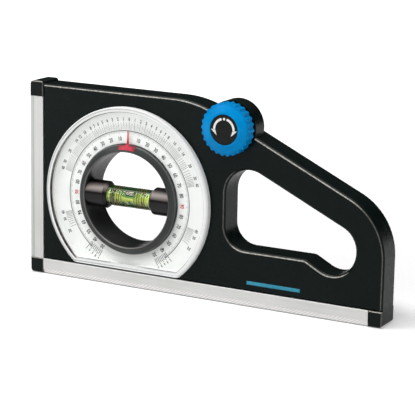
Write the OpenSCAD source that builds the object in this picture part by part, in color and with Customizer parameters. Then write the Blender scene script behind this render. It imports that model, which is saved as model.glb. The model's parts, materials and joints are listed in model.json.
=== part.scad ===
// Angle finder with a turning vial ring, driven by a thumb knob through two gears.
// Part frame: X along the base, Y to the rear, Z up, origin in the middle of the base face.
// Inside the modules X runs from the left end, Y from the front face and Z from the base.

/* [Body] */
// Length of the base (mm)
base_len = 200; // [180:1:240]
// Height of the body over the base face (mm)
body_h = 100.6; // [98:0.2:112]
// Thickness of the body, front to rear (mm)
body_t = 15; // [14:0.1:18]
// Depth of the front shell, to the parting plane (mm)
front_t = 9.2; // [9:0.1:10]
// Wall thickness of both shells (mm)
wall = 2.4; // [2:0.1:2.8]
// Bevel on the outer edges of the shells (mm)
edge = 1.1; // [0.6:0.1:1.4]
// Length of the slope between the flat top and the knob (mm)
neck = 17.5; // [15:0.1:20]
// Radius where the top starts to fall (mm)
top_r = 55; // [40:1:60]
// Height of the right shoulder corner (mm)
shoulder_z = 53; // [48:0.5:60]
// Radius of the right shoulder (mm)
shoulder_r = 31.6; // [24:0.2:34]

/* [Handle] */
// Wall between the dial cover and the hand hole (mm)
grip_wall = 7.8; // [6:0.1:12]
// Floor of the hand hole (mm)
grip_z = 28.4; // [26:0.1:32]
// Width of the sloped handle bar (mm)
bar_w = 15; // [13:0.1:17]
// Width of the right post (mm)
post_w = 14.8; // [13:0.1:17]
// Distance from the right end to the kink in the floor (mm)
kink_in = 41.2; // [38:0.1:46]
// Fall of the floor behind the kink (degrees)
kink_deg = 28; // [24:0.5:30]

/* [Rails] */
// Height of the aluminium rails (mm)
rail_h = 8.2; // [8:0.1:9]
// Width of the outer bevel of the rails (mm)
bevel_w = 2.8; // [2:0.1:3.4]
// Depth of the outer bevel of the rails (mm)
bevel_d = 1; // [0.6:0.1:1.4]
// Opening of the T slot (mm)
slot_w = 5.2; // [4.6:0.1:5.6]
// Width of the T slot inside (mm)
slot_head = 8.4; // [7.6:0.1:8.8]
// Height of the T slot head (mm)
slot_h = 2.6; // [2.2:0.1:3]
// Length of a corner piece along its rail (mm)
cap_len = 7.8; // [7:0.1:9]

/* [Dial] */
// Gap between the turning ring and the base rail (mm)
ring_low = 9.36; // [8:0.01:11]
// Gap between the dial cover and the top of the body (mm)
cover_gap = 7; // [5:0.1:9]
// Gap between the dial cover and the side rail (mm)
rail_gap = 3.9; // [3:0.1:6]
// Stand-out of the clear dial cover (mm)
cover_t = 3; // [2.6:0.1:3.4]
// Gap between the straight lower edge of the cover and the base rail (mm)
cover_low = 1.8; // [1:0.1:3]
// Thickness of the cover's front sheet (mm)
sheet_t = 1; // [0.8:0.1:1.4]
// Width of the cover's rim, out to its edge (mm)
skirt_w = 2.5; // [2.2:0.1:3]
// Width of the cover's rim outside the scale plate (mm)
rim_w = 1.5; // [1.3:0.1:1.8]
// Width of the cover from the turning ring to its edge (mm)
scale_w = 18.8; // [17:0.1:20]
// Radial width of the turning ring's flange (mm)
ring_w = 4.1; // [3.6:0.1:4.6]
// Length of the pointer beyond the ring (mm)
pointer_len = 6.5; // [5:0.1:7]

/* [Vial] */
// Depth of the vial axis behind the front face (mm)
vial_y = 4.4; // [4:0.1:5]
// Radius of the vial tube (mm)
vial_r = 5.2; // [4.8:0.1:5.4]
// Radius of the vial holders (mm)
holder_r = 7; // [6.6:0.1:7.2]
// Half of the open length between the holders (mm)
holder_x = 12.6; // [11:0.1:14]

/* [Gears] */
// Module of the gears (mm)
gear_m = 1; // [0.8:0.05:1.2]
// Wall between the ring's tube and the roots of its gear (mm)
gear_rim = 3.1; // [2:0.1:4]
// Teeth on the knob pinion
pinion_teeth = 15; // [13:1:18]
// Least way from dial to knob over the idler's axis, as a multiple of the straight distance
gear_way = 1.004; // [1.002:0.001:1.01]
// Face width of the gears (mm)
gear_w = 3.2; // [2.8:0.1:3.2]
// Tooth play of each gear at the pitch circle (mm)
tooth_play = 0.12; // [0.08:0.01:0.2]

/* [Knob] */
// Knob centre from the left side of the hand hole (mm)
knob_in = 2.7; // [0:0.1:6]
// Knob centre below the top of the body (mm)
knob_drop = 11.5; // [10:0.1:13]
// Outer radius of the knob (mm)
knob_r = 13.1; // [12.6:0.1:13.6]
// Stand-out of the knob (mm)
knob_h = 7.8; // [7.6:0.1:9]
// Number of finger scallops
scallops = 26; // [20:1:30]
// Radius of the black disc in the knob (mm)
disc_r = 7.5; // [7:0.1:8]
// Radius of the boss behind the knob (mm)
boss_r = 13.4; // [13:0.1:13.8]

/* [Fits] */
// Radial running clearance of the turning parts (mm)
run = 0.05; // [0.02:0.01:0.08]
// Clearance between pieces that are fitted together (mm)
fit = 0.05; // [0.02:0.01:0.1]
// Face clearance between turning and fixed parts (mm)
face_gap = 0.3; // [0.2:0.05:0.4]

/* [Hidden] */
$fn = 96;

// Depth levels behind the front face
plate_t = 1;
plate_y = 0.7;
recess = plate_y + plate_t;
clip_t = 0.8;
clip_y = wall + 0.2;
// Face clearance of the gears
gear_gap = 0.2;
gear_y0 = clip_y + clip_t + 0.4;
gear_y1 = gear_y0 + gear_w;
boss_back = gear_y1 + gear_gap;
rear_in = body_t - wall;
// The retaining ring stands in the rear face by this much
ring_in = 0.1;
ring_back = 1.5;
tube_end = body_t - ring_back - ring_in;

// Dial: the cover fills the height between its gaps, and the ring sits scale_w inside it
cover_r = (body_h - cover_gap - rail_h - ring_low + scale_w) / 2;
ring_r = cover_r - scale_w;
dial_x = rail_h + rail_gap + cover_r;
dial_z = rail_h + ring_low + ring_r;
dial_c = [dial_x, dial_z];
cover_z = rail_h + cover_low;
plate_r = cover_r - rim_w;
plate_z = cover_z + rim_w;
hollow_r = cover_r - skirt_w;
hollow_z = cover_z + skirt_w;
bore_r = ring_r - ring_w;
tube_wall = 2.1;
tube_r = bore_r + tube_wall;
// The hole in the cover's sheet
hole_r = ring_r + 0.5;
// Depths of the ring's flange behind the front face
flange_y0 = -0.2;
flange_y1 = plate_y - face_gap;
// Depths of the needle, which sweeps in front of the shell and inside the cover
needle_y1 = -face_gap;
needle_y0 = needle_y1 - 0.3;
sweep_r = ring_r + pointer_len + face_gap;
// The flange is steep outside the brow, flatter inside it, and bevelled at the bore
brow_r = ring_r - 0.7;
brow_y = -cover_t / 2;
lip_bevel = 0.7;
// Spigot of the retaining ring in the tube
spigot_t = 1;
spigot_h = 1.8;
// Radius of the holders' arms, which pass through the tube
arm_r = 4;
vial_wall = 1.2;
// The plate's hole, under the flange
under_r = tube_r + 0.6;

// Knob and gears: the ring gear goes round the tube, and the idler fills the way to the knob
grip_x = dial_x + cover_r + grip_wall;
knob_c = [grip_x + knob_in, body_h - knob_drop];
axis_gap = norm(knob_c - dial_c);
root = 1.2;
addendum = 0.85;
ring_teeth = ceil(2 * (tube_r + gear_rim) / gear_m + 2 * root);
idler_teeth = ceil(axis_gap * gear_way / gear_m - (ring_teeth + pinion_teeth) / 2);
pitch_ring = gear_m * ring_teeth / 2;
pitch_idler = gear_m * idler_teeth / 2;
pitch_pinion = gear_m * pinion_teeth / 2;
arm_a = pitch_ring + pitch_idler;
arm_b = pitch_idler + pitch_pinion;
line_deg = atan2(knob_c[1] - dial_c[1], knob_c[0] - dial_c[0]);
idler_deg = line_deg + acos((arm_a * arm_a + axis_gap * axis_gap - arm_b * arm_b) / (2 * arm_a * axis_gap));
idler_c = dial_c + arm_a * [cos(idler_deg), sin(idler_deg)];
knob_deg = atan2(knob_c[1] - idler_c[1], knob_c[0] - idler_c[0]);
pin_r = 2.5;
pin_y = recess + 0.5;
pin_post = 4.6;
journal_r = 9;
stub_r = 3;
groove_r = 6.5;
drive_w = 7.8;
// The spindle ends this far inside the knob
drive_in = 3.3;
drive_y = -knob_h + drive_in;

screw_r = 1.3;
screw_post = 3.3;
head_r = 2.7;
head_t = 1.6;
screw_tip = wall + 1.4;
screw_seat = body_t - head_t - 0.2;
// Cross slot of the screws
cross_len = 3;
cross_w = 0.8;
cross_t = 0.9;

strip_in = 13;
strip_len = 29;
strip_up = 3.4;
strip_w = 1.8;
strip_x0 = grip_x + strip_in;
strip_x1 = strip_x0 + strip_len;
strip_z0 = rail_h + strip_up;
strip_z1 = strip_z0 + strip_w;
strip_t = 0.4;

peg_r = 0.45;
peg_ring = cover_r - 0.7;
peg_deg = [32, 148, 212, 328];

// Round corners are this much larger, so that they cross the straight sides cleanly
nudge = 0.004;
// Longer than any outline
far = 300;

// Outlines as corner lists [x, z, radius], counter-clockwise
fall = knob_c + boss_r * [-0.33, 0.343];
slope = atan2(fall[1] - shoulder_z, base_len - fall[0]);
outline = [
    [rail_h, rail_h, 0],
    [base_len, rail_h, 0],
    [base_len, shoulder_z, shoulder_r],
    [fall[0], fall[1], 0],
    [fall[0] - neck, body_h, top_r],
    [rail_h, body_h, 0]
];
grip_x1 = base_len - post_w;
grip_top = shoulder_z + post_w * tan(slope) - bar_w / cos(slope);
grip_top0 = grip_top + (grip_x1 - grip_x) * tan(slope);
kink_x = base_len - kink_in;
grip_low = grip_z - (grip_x1 - kink_x) * tan(kink_deg);
// Nearly a full round at the right end, between the falling floor and the bar
grip_end_r = 0.98 * (grip_top - grip_low) / (tan(45 + kink_deg / 2) + tan(45 - slope / 2));
grip = [
    [grip_x, grip_z, 11.4],
    [kink_x, grip_z, 5],
    [grip_x1, grip_low, grip_end_r],
    [grip_x1, grip_top, grip_end_r],
    [grip_x, grip_top0, 13]
];

// Screws that join the shells; one sits in the middle of the sloped bar
rail_screw = 6.8;
top_screw = 7;
grip_screw = 10.4;
post_screw = 8;
bar_screw = 50;
neck_screw = [16.6, 6.2];
function bar_mid(x) = shoulder_z + (base_len - x) * tan(slope) - bar_w / 2 / cos(slope);
screws = [
    [rail_h + rail_screw, body_h - top_screw],
    [rail_h + rail_screw, rail_h + rail_screw],
    [grip_x - grip_screw, rail_h + rail_screw],
    [base_len - post_w / 2, rail_h + post_screw],
    [base_len - bar_screw, bar_mid(base_len - bar_screw)],
    [dial_x + neck_screw[0], body_h - neck_screw[1]]
];

// Helpers for outlines
function turned(v) = [-v[1], v[0]];
function spot(pts, i) = let (p = pts[(i + len(pts)) % len(pts)]) [p[0], p[1]];
function unit(v) = v / norm(v);
function dir_in(pts, i) = unit(spot(pts, i) - spot(pts, i - 1));
function dir_out(pts, i) = unit(spot(pts, i + 1) - spot(pts, i));
function bend(pts, i) = sign(cross(dir_in(pts, i), dir_out(pts, i)));
function half_turn(pts, i) = acos(dir_in(pts, i) * dir_out(pts, i)) / 2;
function reach(pts, i) = pts[i][2] * tan(half_turn(pts, i));
function arc_in(pts, i) = spot(pts, i) - reach(pts, i) * dir_in(pts, i);
function arc_out(pts, i) = spot(pts, i) + reach(pts, i) * dir_out(pts, i);
function arc_mid(pts, i) = arc_in(pts, i) + bend(pts, i) * pts[i][2] * turned(dir_in(pts, i));
// Four-cornered field from the arc's centre, wide enough to hold the arc
function field(pts, i) =
    let (c = arc_mid(pts, i))
    [c, c + 2 * (arc_in(pts, i) - c), c + 2 * (spot(pts, i) - c), c + 2 * (arc_out(pts, i) - c)];

// The same outline moved inward by d (outward if d is negative)
function inset(pts, d) = [
    for (i = [0 : len(pts) - 1])
        let (
            a = turned(dir_in(pts, i)),
            b = turned(dir_out(pts, i)),
            p = spot(pts, i) + d * (a + b) / (1 + a * b),
            r = pts[i][2]
        )
        [p[0], p[1], r == 0 ? 0 : max(0.2, r - d * bend(pts, i))]
];

// What a round corner takes off a flat shape, or adds at an inner corner
module corner(pts, i) {
    difference() {
        polygon(field(pts, i));
        translate(arc_mid(pts, i)) circle(r = pts[i][2] + nudge);
    }
}

// Corners that bend one way, 1 outward and -1 inward
function corners(pts, way) = [
    for (i = [0 : len(pts) - 1])
        if (pts[i][2] > 0 && bend(pts, i) == way) i
];

// Flat shape with rounded corners
module rounded(pts) {
    difference() {
        polygon([for (p = pts) [p[0], p[1]]]);
        for (i = corners(pts, 1)) corner(pts, i);
    }
    for (i = corners(pts, -1)) corner(pts, i);
}

// Moves a piece from the drawing frame into the part frame
module placed() {
    translate([-base_len / 2, -body_t / 2, 0]) children();
}

// Flat XZ shape made solid between two depths
module prism(y0, y1) {
    translate([0, y1, 0]) rotate([90, 0, 0]) linear_extrude(height = y1 - y0) children();
}

// Round bar along Y
module rod(c, r, y0, y1) {
    translate([c[0], y1, c[1]]) rotate([90, 0, 0]) cylinder(h = y1 - y0, r = r);
}

// Cone along Y with radius ra at depth y0 and rb at depth y1
module cone(c, ra, rb, y0, y1) {
    translate([c[0], y1, c[1]]) rotate([90, 0, 0]) cylinder(h = y1 - y0, r1 = rb, r2 = ra);
}

// Turned form about the Y axis through c, from an outline of [radius, depth]
module lathe(c, profile) {
    translate([c[0], 0, c[1]]) rotate([-90, 0, 0]) rotate_extrude() polygon(profile);
}

// Ring around the Y axis through c
module band(c, r_in, r_out, y0, y1) {
    difference() {
        rod(c, r_out, y0, y1);
        rod(c, r_in, y0 - 1, y1 + 1);
    }
}

// Everything on the inner side of one edge of an outline. Both faces have a bevel of size c,
// and the form goes past them by over; a negative c widens the form at the faces
module side_of(pts, i, c, y0, y1, over) {
    p = spot(pts, i);
    u = dir_out(pts, i);
    b = abs(c);
    out = c + sign(c) * over;
    translate([p[0], 0, p[1]])
        rotate([0, -atan2(u[1], u[0]), 0])
            rotate([90, 0, 90])
                translate([0, 0, -far])
                    linear_extrude(height = 2 * far)
                        polygon([
                            [y0 - over, out], [y0 + b, 0], [y1 - b, 0],
                            [y1 + over, out], [y1 + over, far], [y0 - over, far]
                        ]);
}

// Like corner, with the bevels of size c on both faces
module deep_corner(pts, i, c, y0, y1) {
    e = 0.2;
    m = arc_mid(pts, i);
    r = pts[i][2] + nudge;
    r_end = r - bend(pts, i) * (c + sign(c) * e);
    b = abs(c);
    difference() {
        prism(y0 - e, y1 + e) polygon(field(pts, i));
        cone(m, r_end, r, y0 - e, y0 + b);
        rod(m, r, y0 + b, y1 - b);
        cone(m, r, r_end, y1 - b, y1 + e);
    }
}

// Plate of an outline without inner corners, with bevels of size c on both faces
module plate(pts, c, y0, y1) {
    difference() {
        intersection_for(i = [0 : len(pts) - 1]) side_of(pts, i, c, y0, y1, 0);
        for (i = corners(pts, 1)) deep_corner(pts, i, c, y0, y1);
    }
}

// Flat involute gear, first tooth on the angle phase
function inv_deg(a) = tan(a) * 180 / PI - a;
function tooth_half(n, r) =
    let (rp = gear_m * n / 2, rb = rp * cos(20))
    90 / n - tooth_play / 2 / rp * 180 / PI + inv_deg(20) - inv_deg(acos(min(1, rb / r)));
function on_circle(r, a) = [r * cos(a), r * sin(a)];
module gear_shape(n, phase) {
    rp = gear_m * n / 2;
    rb = rp * cos(20);
    r_root = rp - root * gear_m;
    r_tip = rp + addendum * gear_m;
    r_low = max(rb, r_root);
    steps = 5;
    polygon([
        for (k = [0 : n - 1])
            let (a = phase + k * 360 / n)
            each concat(
                [on_circle(r_root, a - tooth_half(n, r_low))],
                [for (j = [r_low > r_root ? 0 : 1 : steps])
                    let (r = r_low + (r_tip - r_low) * j / steps)
                    on_circle(r, a - tooth_half(n, r))],
                [for (j = [steps : -1 : r_low > r_root ? 0 : 1])
                    let (r = r_low + (r_tip - r_low) * j / steps)
                    on_circle(r, a + tooth_half(n, r))],
                [on_circle(r_root, a + tooth_half(n, r_low))]
            )
    ]);
}

// Phases that put a tooth of one gear in the middle of a gap of the next
ring_phase = 0;
ring_part = (idler_deg - ring_phase) * ring_teeth / 360;
idler_phase = idler_deg + 180 - (0.5 - ring_part) * 360 / idler_teeth;
idler_part = (knob_deg - idler_phase) * idler_teeth / 360;
pinion_phase = knob_deg + 180 - (0.5 - idler_part) * 360 / pinion_teeth;

// T shape across the rails, with a gap of g to the slot
module tee(g, lip, low, mid) {
    translate([mid - slot_w / 2 + g, low + slot_h - g - 0.01])
        square([slot_w - 2 * g, lip + g + 0.01]);
    translate([mid - slot_head / 2 + g, low + g])
        square([slot_head - 2 * g, slot_h - 2 * g]);
}

lip = 1.6;
slot_low = rail_h - lip - slot_h;
plug_len = 6;
tongue_in = cap_len + plug_len + 1;

// Rail section in the plane of depth and height
module rail_section() {
    difference() {
        polygon([
            [bevel_d, 0], [body_t - bevel_d, 0], [body_t, bevel_w],
            [body_t, rail_h], [0, rail_h], [0, bevel_w]
        ]);
        tee(0, lip + 1, slot_low, front_t);
    }
}

// Bar along X with the section of a rail, and the same standing along Z
module along_x(x0, x1) {
    translate([x0, 0, 0]) rotate([90, 0, 90]) linear_extrude(height = x1 - x0) children();
}
module along_z(z0, z1) {
    multmatrix([[0, 1, 0, 0], [1, 0, 0, 0], [0, 0, 1, z0], [0, 0, 0, 1]])
        linear_extrude(height = z1 - z0) children();
}

module base_rail() {
    color([0.8, 0.81, 0.82])
        placed()
            along_x(rail_h, base_len - cap_len + 0.6) rail_section();
}

module side_rail() {
    color([0.8, 0.81, 0.82])
        placed()
            along_z(rail_h, body_h - cap_len + 1) rail_section();
}

// All the space between two depths
module slab(y0, y1) {
    translate([-far, y0, -far]) cube([2 * far, y1 - y0, 2 * far]);
}

// Tongue half of a shell in the T slots of both rails
module tongues(y0, y1) {
    intersection() {
        union() {
            along_x(tongue_in + 1, base_len - tongue_in) tee(fit, lip, slot_low, front_t);
            along_z(tongue_in + 1, body_h - tongue_in) tee(fit, lip, slot_low, front_t);
        }
        slab(y0, y1);
    }
}

// Corner pieces stand back from the reference faces by this much
cap_in = 0.3;
cap_edge = 0.5;

module corner_cap() {
    shape = [
        [cap_in, cap_in, 1.6], [rail_h, cap_in, 0],
        [rail_h, rail_h, 0], [cap_in, rail_h, 0]
    ];
    color([0.07, 0.08, 0.08])
        placed() {
            plate(shape, cap_edge, 0, body_t);
            along_x(rail_h - 0.5, rail_h + plug_len) tee(fit, lip - fit, slot_low, front_t);
            along_z(rail_h - 0.5, rail_h + plug_len) tee(fit, lip - fit, slot_low, front_t);
        }
}

module top_cap() {
    z0 = body_h - cap_len + 1;
    z1 = body_h + 1.2;
    shape = [[cap_in, z0, 0], [rail_h, z0, 0], [rail_h, z1, 1.2], [cap_in, z1, 2]];
    color([0.07, 0.08, 0.08])
        placed() {
            plate(shape, cap_edge, 0, body_t);
            along_z(z0 - plug_len, z0 + 0.5) tee(fit, lip - fit, slot_low, front_t);
        }
}

module end_cap() {
    x0 = base_len - cap_len + 0.6;
    shape = [
        [x0, cap_in, 0], [base_len, cap_in, 1.6],
        [base_len, rail_h, 0], [x0, rail_h, 0]
    ];
    color([0.07, 0.08, 0.08])
        placed() {
            plate(shape, cap_edge, 0, body_t);
            along_x(x0 - plug_len, x0 + 0.5) tee(fit, lip - fit, slot_low, front_t);
        }
}

// Body of both shells together, before it is hollowed
module body_block() {
    plate(outline, edge, 0, body_t);
}

// The hand hole, wider at both faces. Its floor has the one inner corner of the outline
module hand_hole() {
    difference() {
        intersection() {
            grip_side(2);
            grip_side(3);
            grip_side(4);
            union() {
                grip_side(0);
                grip_side(1);
            }
        }
        for (i = corners(grip, 1)) deep_corner(grip, i, -edge, 0, body_t);
    }
    for (i = corners(grip, -1)) deep_corner(grip, i, -edge, 0, body_t);
}

module grip_side(i) {
    side_of(grip, i, -edge, 0, body_t, 1);
}

// Everything inside the walls of both shells
module cavity_shape() {
    difference() {
        rounded(inset(outline, wall));
        rounded(inset(grip, -wall));
    }
}

module front_shell() {
    color([0.07, 0.09, 0.09])
        placed()
            difference() {
                union() {
                    intersection() {
                        body_block();
                        slab(-1, front_t);
                    }
                    rod(knob_c, boss_r, 0, front_t);
                    tongues(0, front_t);
                }
                hand_hole();
                front_cavity();
                front_bores();
            }
}

module front_cavity() {
    difference() {
        union() {
            prism(wall, front_t + 1) cavity_shape();
            rod(knob_c, boss_r - wall, wall, boss_back);
        }
        rod(knob_c, boss_r + 0.4, boss_back, front_t + 2);
        for (p = screws)
            rod(p, screw_post, wall - 1, front_t + 2);
        rod(dial_c, ring_r, wall - 1, gear_y0 - gear_gap);
        rod(idler_c, pin_post, wall - 1, gear_y0 - gear_gap);
    }
}

module front_bores() {
    rod(dial_c, tube_r + run, -1, front_t);
    dial_disc(plate_r + 0.1, plate_z - 0.1, -1, recess);
    for (a = peg_deg)
        rod(dial_c + peg_ring * [cos(a), sin(a)], peg_r + fit, -1, wall - 0.4);
    for (p = screws)
        rod(p, screw_r + fit, screw_tip - 0.3, front_t + 1);
    rod(idler_c, pin_r + fit, pin_y, front_t);
    rod(knob_c, journal_r + run, -1, wall + 1);
    rod(knob_c, stub_r + run, wall, front_t + 1);
    translate([strip_x0 - fit, -1, strip_z0 - fit])
        cube([strip_x1 - strip_x0 + 2 * fit, 1 + strip_t, strip_z1 - strip_z0 + 2 * fit]);
}

module rear_shell() {
    color([0.07, 0.09, 0.09])
        placed()
            difference() {
                union() {
                    difference() {
                        intersection() {
                            body_block();
                            slab(front_t, body_t + 1);
                        }
                        prism(front_t - 1, rear_in) cavity_shape();
                    }
                    tongues(front_t, body_t);
                    rod(dial_c, ring_r + 0.6, boss_back + 0.1, rear_in + 1);
                    rod(idler_c, pin_post, gear_y1 + gear_gap, rear_in + 1);
                    for (p = screws)
                        rod(p, screw_post, front_t, rear_in + 1);
                }
                hand_hole();
                rear_bores();
            }
}

module rear_bores() {
    rod(dial_c, tube_r + run, gear_y1, body_t + 1);
    rod(dial_c, ring_r + 0.2, body_t - ring_back - 0.2, body_t + 1);
    rod(idler_c, pin_r + fit, gear_y1, rear_in - 1);
    for (p = screws) {
        rod(p, screw_r + 0.3, front_t - 1, body_t + 1);
        rod(p, head_r + 0.3, screw_seat, body_t + 1);
    }
}

module trim_strip() {
    color([0, 0.45, 0.75])
        placed()
            translate([strip_x0, 0, strip_z0])
                cube([strip_x1 - strip_x0, strip_t, strip_z1 - strip_z0]);
}

// Round disc with the straight lower edge of the dial
module dial_disc(r, low, y0, y1) {
    intersection() {
        rod(dial_c, r, y0, y1);
        translate([0, y0 - 1, low]) cube([base_len, y1 - y0 + 2, body_h]);
    }
}

module dial_plate() {
    color([0.93, 0.94, 0.92])
        placed()
            difference() {
                dial_disc(plate_r, plate_z, plate_y, recess);
                rod(dial_c, under_r, 0, recess + 1);
            }
}

// Clear cap over the scale: a thin sheet on a rim that holds the plate down
cover_bevel = 0.6;
module dial_cover() {
    color([0.85, 0.9, 0.9, 0.4])
        placed() {
            difference() {
                union() {
                    dial_disc(cover_r, cover_z, -cover_t, 0);
                    dial_disc(plate_r, plate_z, -1, plate_y);
                }
                difference() {
                    rod(dial_c, cover_r + 2, -cover_t - 1, -cover_t + cover_bevel);
                    cone(
                        dial_c, cover_r - 1 - cover_bevel, cover_r,
                        -cover_t - 1, -cover_t + cover_bevel
                    );
                }
                dial_disc(hollow_r, hollow_z, -cover_t + sheet_t, recess);
                rod(dial_c, sweep_r, needle_y0 - face_gap, recess);
                rod(dial_c, hole_r, -cover_t - 1, 0);
            }
            for (a = peg_deg)
                rod(dial_c + peg_ring * [cos(a), sin(a)], peg_r, -1, wall - 0.5);
        }
}

// Form of the flange, with its faces moved out by lift
module flange(lift) {
    lathe(dial_c, [
        [0, -cover_t], [bore_r + lip_bevel + lift, -cover_t], [brow_r + lift, brow_y],
        [ring_r + lift, flange_y0], [ring_r + lift, flange_y1], [0, flange_y1]
    ]);
}

// Turning ring: flange in front, tube through the body
module vial_ring() {
    color([0.08, 0.09, 0.09])
        placed()
            difference() {
                union() {
                    flange(0);
                    rod(dial_c, tube_r, 0, tube_end);
                }
                rod(dial_c, bore_r, -cover_t - 1, tube_end + 1);
                cone(
                    dial_c, bore_r + lip_bevel + 1, bore_r,
                    -cover_t - 1, -cover_t + lip_bevel
                );
                rod(dial_c, bore_r + spigot_t, tube_end - spigot_h, tube_end + 1);
                translate([dial_x - tube_r - 1, vial_y, dial_z])
                    rotate([0, 90, 0]) cylinder(h = 2 * tube_r + 2, r = arm_r + fit);
                pointer_patch(0, 0.2);
                needle(fit);
            }
}

patch_deg = 11;
patch_t = 0.35;
// Half of the needle's width at its foot
needle_w = 0.6;

// Thin red shell on the cone, set in by its own thickness
module pointer_patch(lift, spread) {
    intersection() {
        difference() {
            flange(lift);
            flange(-patch_t);
        }
        prism(-cover_t + 0.3, flange_y0)
            polygon([
                dial_c,
                dial_c + 2 * ring_r * [sin(-patch_deg - spread), cos(-patch_deg - spread)],
                dial_c + 2 * ring_r * [sin(patch_deg + spread), cos(patch_deg + spread)]
            ]);
    }
}

// Tapered needle, rooted in the edge of the flange, g larger all round
module needle(g) {
    foot = ring_r - 0.6 - g;
    tip = ring_r + pointer_len + g;
    prism(needle_y0 - g, needle_y1 + g)
        polygon([
            [dial_x - needle_w - g, dial_z + foot],
            [dial_x + needle_w + g, dial_z + foot],
            [dial_x + needle_w / 3 + g, dial_z + tip],
            [dial_x - needle_w / 3 - g, dial_z + tip]
        ]);
}

module pointer() {
    color([0.85, 0.1, 0.12])
        placed() {
            pointer_patch(-fit, -0.1);
            needle(0);
        }
}

module ring_gear() {
    color([0.75, 0.76, 0.72])
        placed()
            difference() {
                prism(gear_y0, gear_y1)
                    translate(dial_c) gear_shape(ring_teeth, ring_phase);
                rod(dial_c, tube_r + fit, gear_y0 - 1, gear_y1 + 1);
            }
}

module rear_ring() {
    color([0.08, 0.09, 0.09])
        placed()
            difference() {
                union() {
                    rod(dial_c, ring_r - 0.2, tube_end, body_t - ring_in);
                    rod(dial_c, bore_r + spigot_t - fit, tube_end - spigot_h + 0.1, tube_end + 1);
                }
                rod(dial_c, bore_r, tube_end - 3, body_t + 1);
            }
}

// Bar along X through the vial axis, from a to b beside the dial centre
module vial_rod(r, a, b) {
    translate([dial_x + a, vial_y, dial_z]) rotate([0, 90, 0]) cylinder(h = b - a, r = r);
}

// Holder on the right, turned about the vial's axis; the left one is its mirror image
holder_bevel = 1.6;
holder_face = holder_r - 1.4;
module holder() {
    difference() {
        union() {
            intersection() {
                translate([dial_x, vial_y, dial_z])
                    rotate([0, 90, 0])
                        rotate_extrude()
                            polygon([
                                [0, holder_x], [holder_face, holder_x],
                                [holder_r, holder_x + holder_bevel],
                                [holder_r, bore_r], [0, bore_r]
                            ]);
                rod(dial_c, bore_r - 0.03, -cover_t - 1, body_t);
            }
            vial_rod(arm_r, bore_r - 2, tube_r - 0.9);
        }
        vial_rod(vial_r + fit, holder_x - 1, bore_r - 3);
    }
}

module mirrored() {
    translate([2 * dial_x, 0, 0]) mirror([1, 0, 0]) children();
}

module holder_right() {
    color([0.08, 0.08, 0.09]) placed() holder();
}

module holder_left() {
    color([0.08, 0.08, 0.09]) placed() mirrored() holder();
}

vial_half = bore_r - 3.1;
liquid_half = vial_half - 2.2;
liquid_r = vial_r - vial_wall - 0.02;
bubble_r = 1.9;

module vial_tube() {
    color([0.9, 0.95, 0.85, 0.4])
        placed()
            difference() {
                vial_rod(vial_r, -vial_half, vial_half);
                vial_rod(vial_r - vial_wall, -vial_half - 1, vial_half + 1);
            }
}

module vial_liquid() {
    color([0.75, 0.9, 0.1, 0.6])
        placed()
            difference() {
                vial_rod(liquid_r, -liquid_half, liquid_half);
                translate([0, 0, liquid_r - 1.1]) {
                    vial_rod(bubble_r, -bubble_r, bubble_r);
                    for (s = [-1, 1])
                        translate([dial_x + bubble_r * s, vial_y, dial_z]) sphere(r = bubble_r);
                }
            }
}

module vial_plug_right() {
    color([0.1, 0.12, 0.1])
        placed() vial_rod(liquid_r, liquid_half, vial_half);
}

module vial_plug_left() {
    color([0.1, 0.12, 0.1])
        placed() vial_rod(liquid_r, -vial_half, -liquid_half);
}

module idler_gear() {
    color([0.9, 0.88, 0.8])
        placed()
            difference() {
                prism(gear_y0, gear_y1)
                    translate(idler_c) gear_shape(idler_teeth, idler_phase);
                rod(idler_c, pin_r + run, gear_y0 - 1, gear_y1 + 1);
                for (a = [0 : 60 : 300])
                    rod(
                        idler_c + 0.55 * pitch_idler * [cos(a), sin(a)], 0.19 * pitch_idler,
                        gear_y0 - 1, gear_y1 + 1
                    );
            }
}

module idler_pin() {
    color([0.7, 0.7, 0.72])
        placed() rod(idler_c, pin_r, pin_y + 0.1, rear_in - 1.2);
}

module knob_spindle() {
    color([0.85, 0.84, 0.8])
        placed()
            difference() {
                union() {
                    translate([knob_c[0] - drive_w / 2, drive_y, knob_c[1] - drive_w / 2])
                        cube([drive_w, -drive_y, drive_w]);
                    rod(knob_c, journal_r, -knob_lift, wall);
                    rod(knob_c, groove_r, wall - 0.5, gear_y0 + 0.5);
                    prism(gear_y0, gear_y1)
                        translate(knob_c) gear_shape(pinion_teeth, pinion_phase);
                    rod(knob_c, stub_r, gear_y1 - 0.5, front_t - 0.1);
                }
                rod(knob_c, screw_r + fit, drive_y - 1, 1.6);
            }
}

// Knob face: bevel, seat of the disc and seat of the screw head, and its finger scallops
knob_bevel = 1.4;
disc_seat = 0.9;
head_seat = 2.5;
scallop_r = 1.35;
scallop_out = 0.75;
// The knob ends this far in front of the housing, and the felt fills the gap
knob_lift = 1;

module knob() {
    face = -knob_h;
    color([0, 0.45, 0.8])
        placed()
            difference() {
                lathe(knob_c, [
                    [0, face], [disc_r + 0.9, face], [knob_r - 0.6, face + knob_bevel],
                    [knob_r, face + knob_bevel], [knob_r, -knob_lift], [0, -knob_lift]
                ]);
                for (k = [0 : scallops - 1])
                    let (a = (k + 0.5) * 360 / scallops)
                    rod(knob_c + (knob_r + scallop_out) * [cos(a), sin(a)], scallop_r, face - 1, 0);
                rod(knob_c, disc_r + fit, face - 1, face + disc_seat);
                rod(knob_c, head_r + 0.4, face, face + head_seat);
                rod(knob_c, screw_r + 0.2, face, 0);
                translate([
                    knob_c[0] - drive_w / 2 - fit, drive_y,
                    knob_c[1] - drive_w / 2 - fit
                ])
                    cube([drive_w + 2 * fit, -drive_y, drive_w + 2 * fit]);
            }
}

module knob_disc() {
    color([0.05, 0.05, 0.06])
        placed() rod(knob_c, disc_r, -knob_h + 0.1, -knob_h + disc_seat);
}

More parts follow.
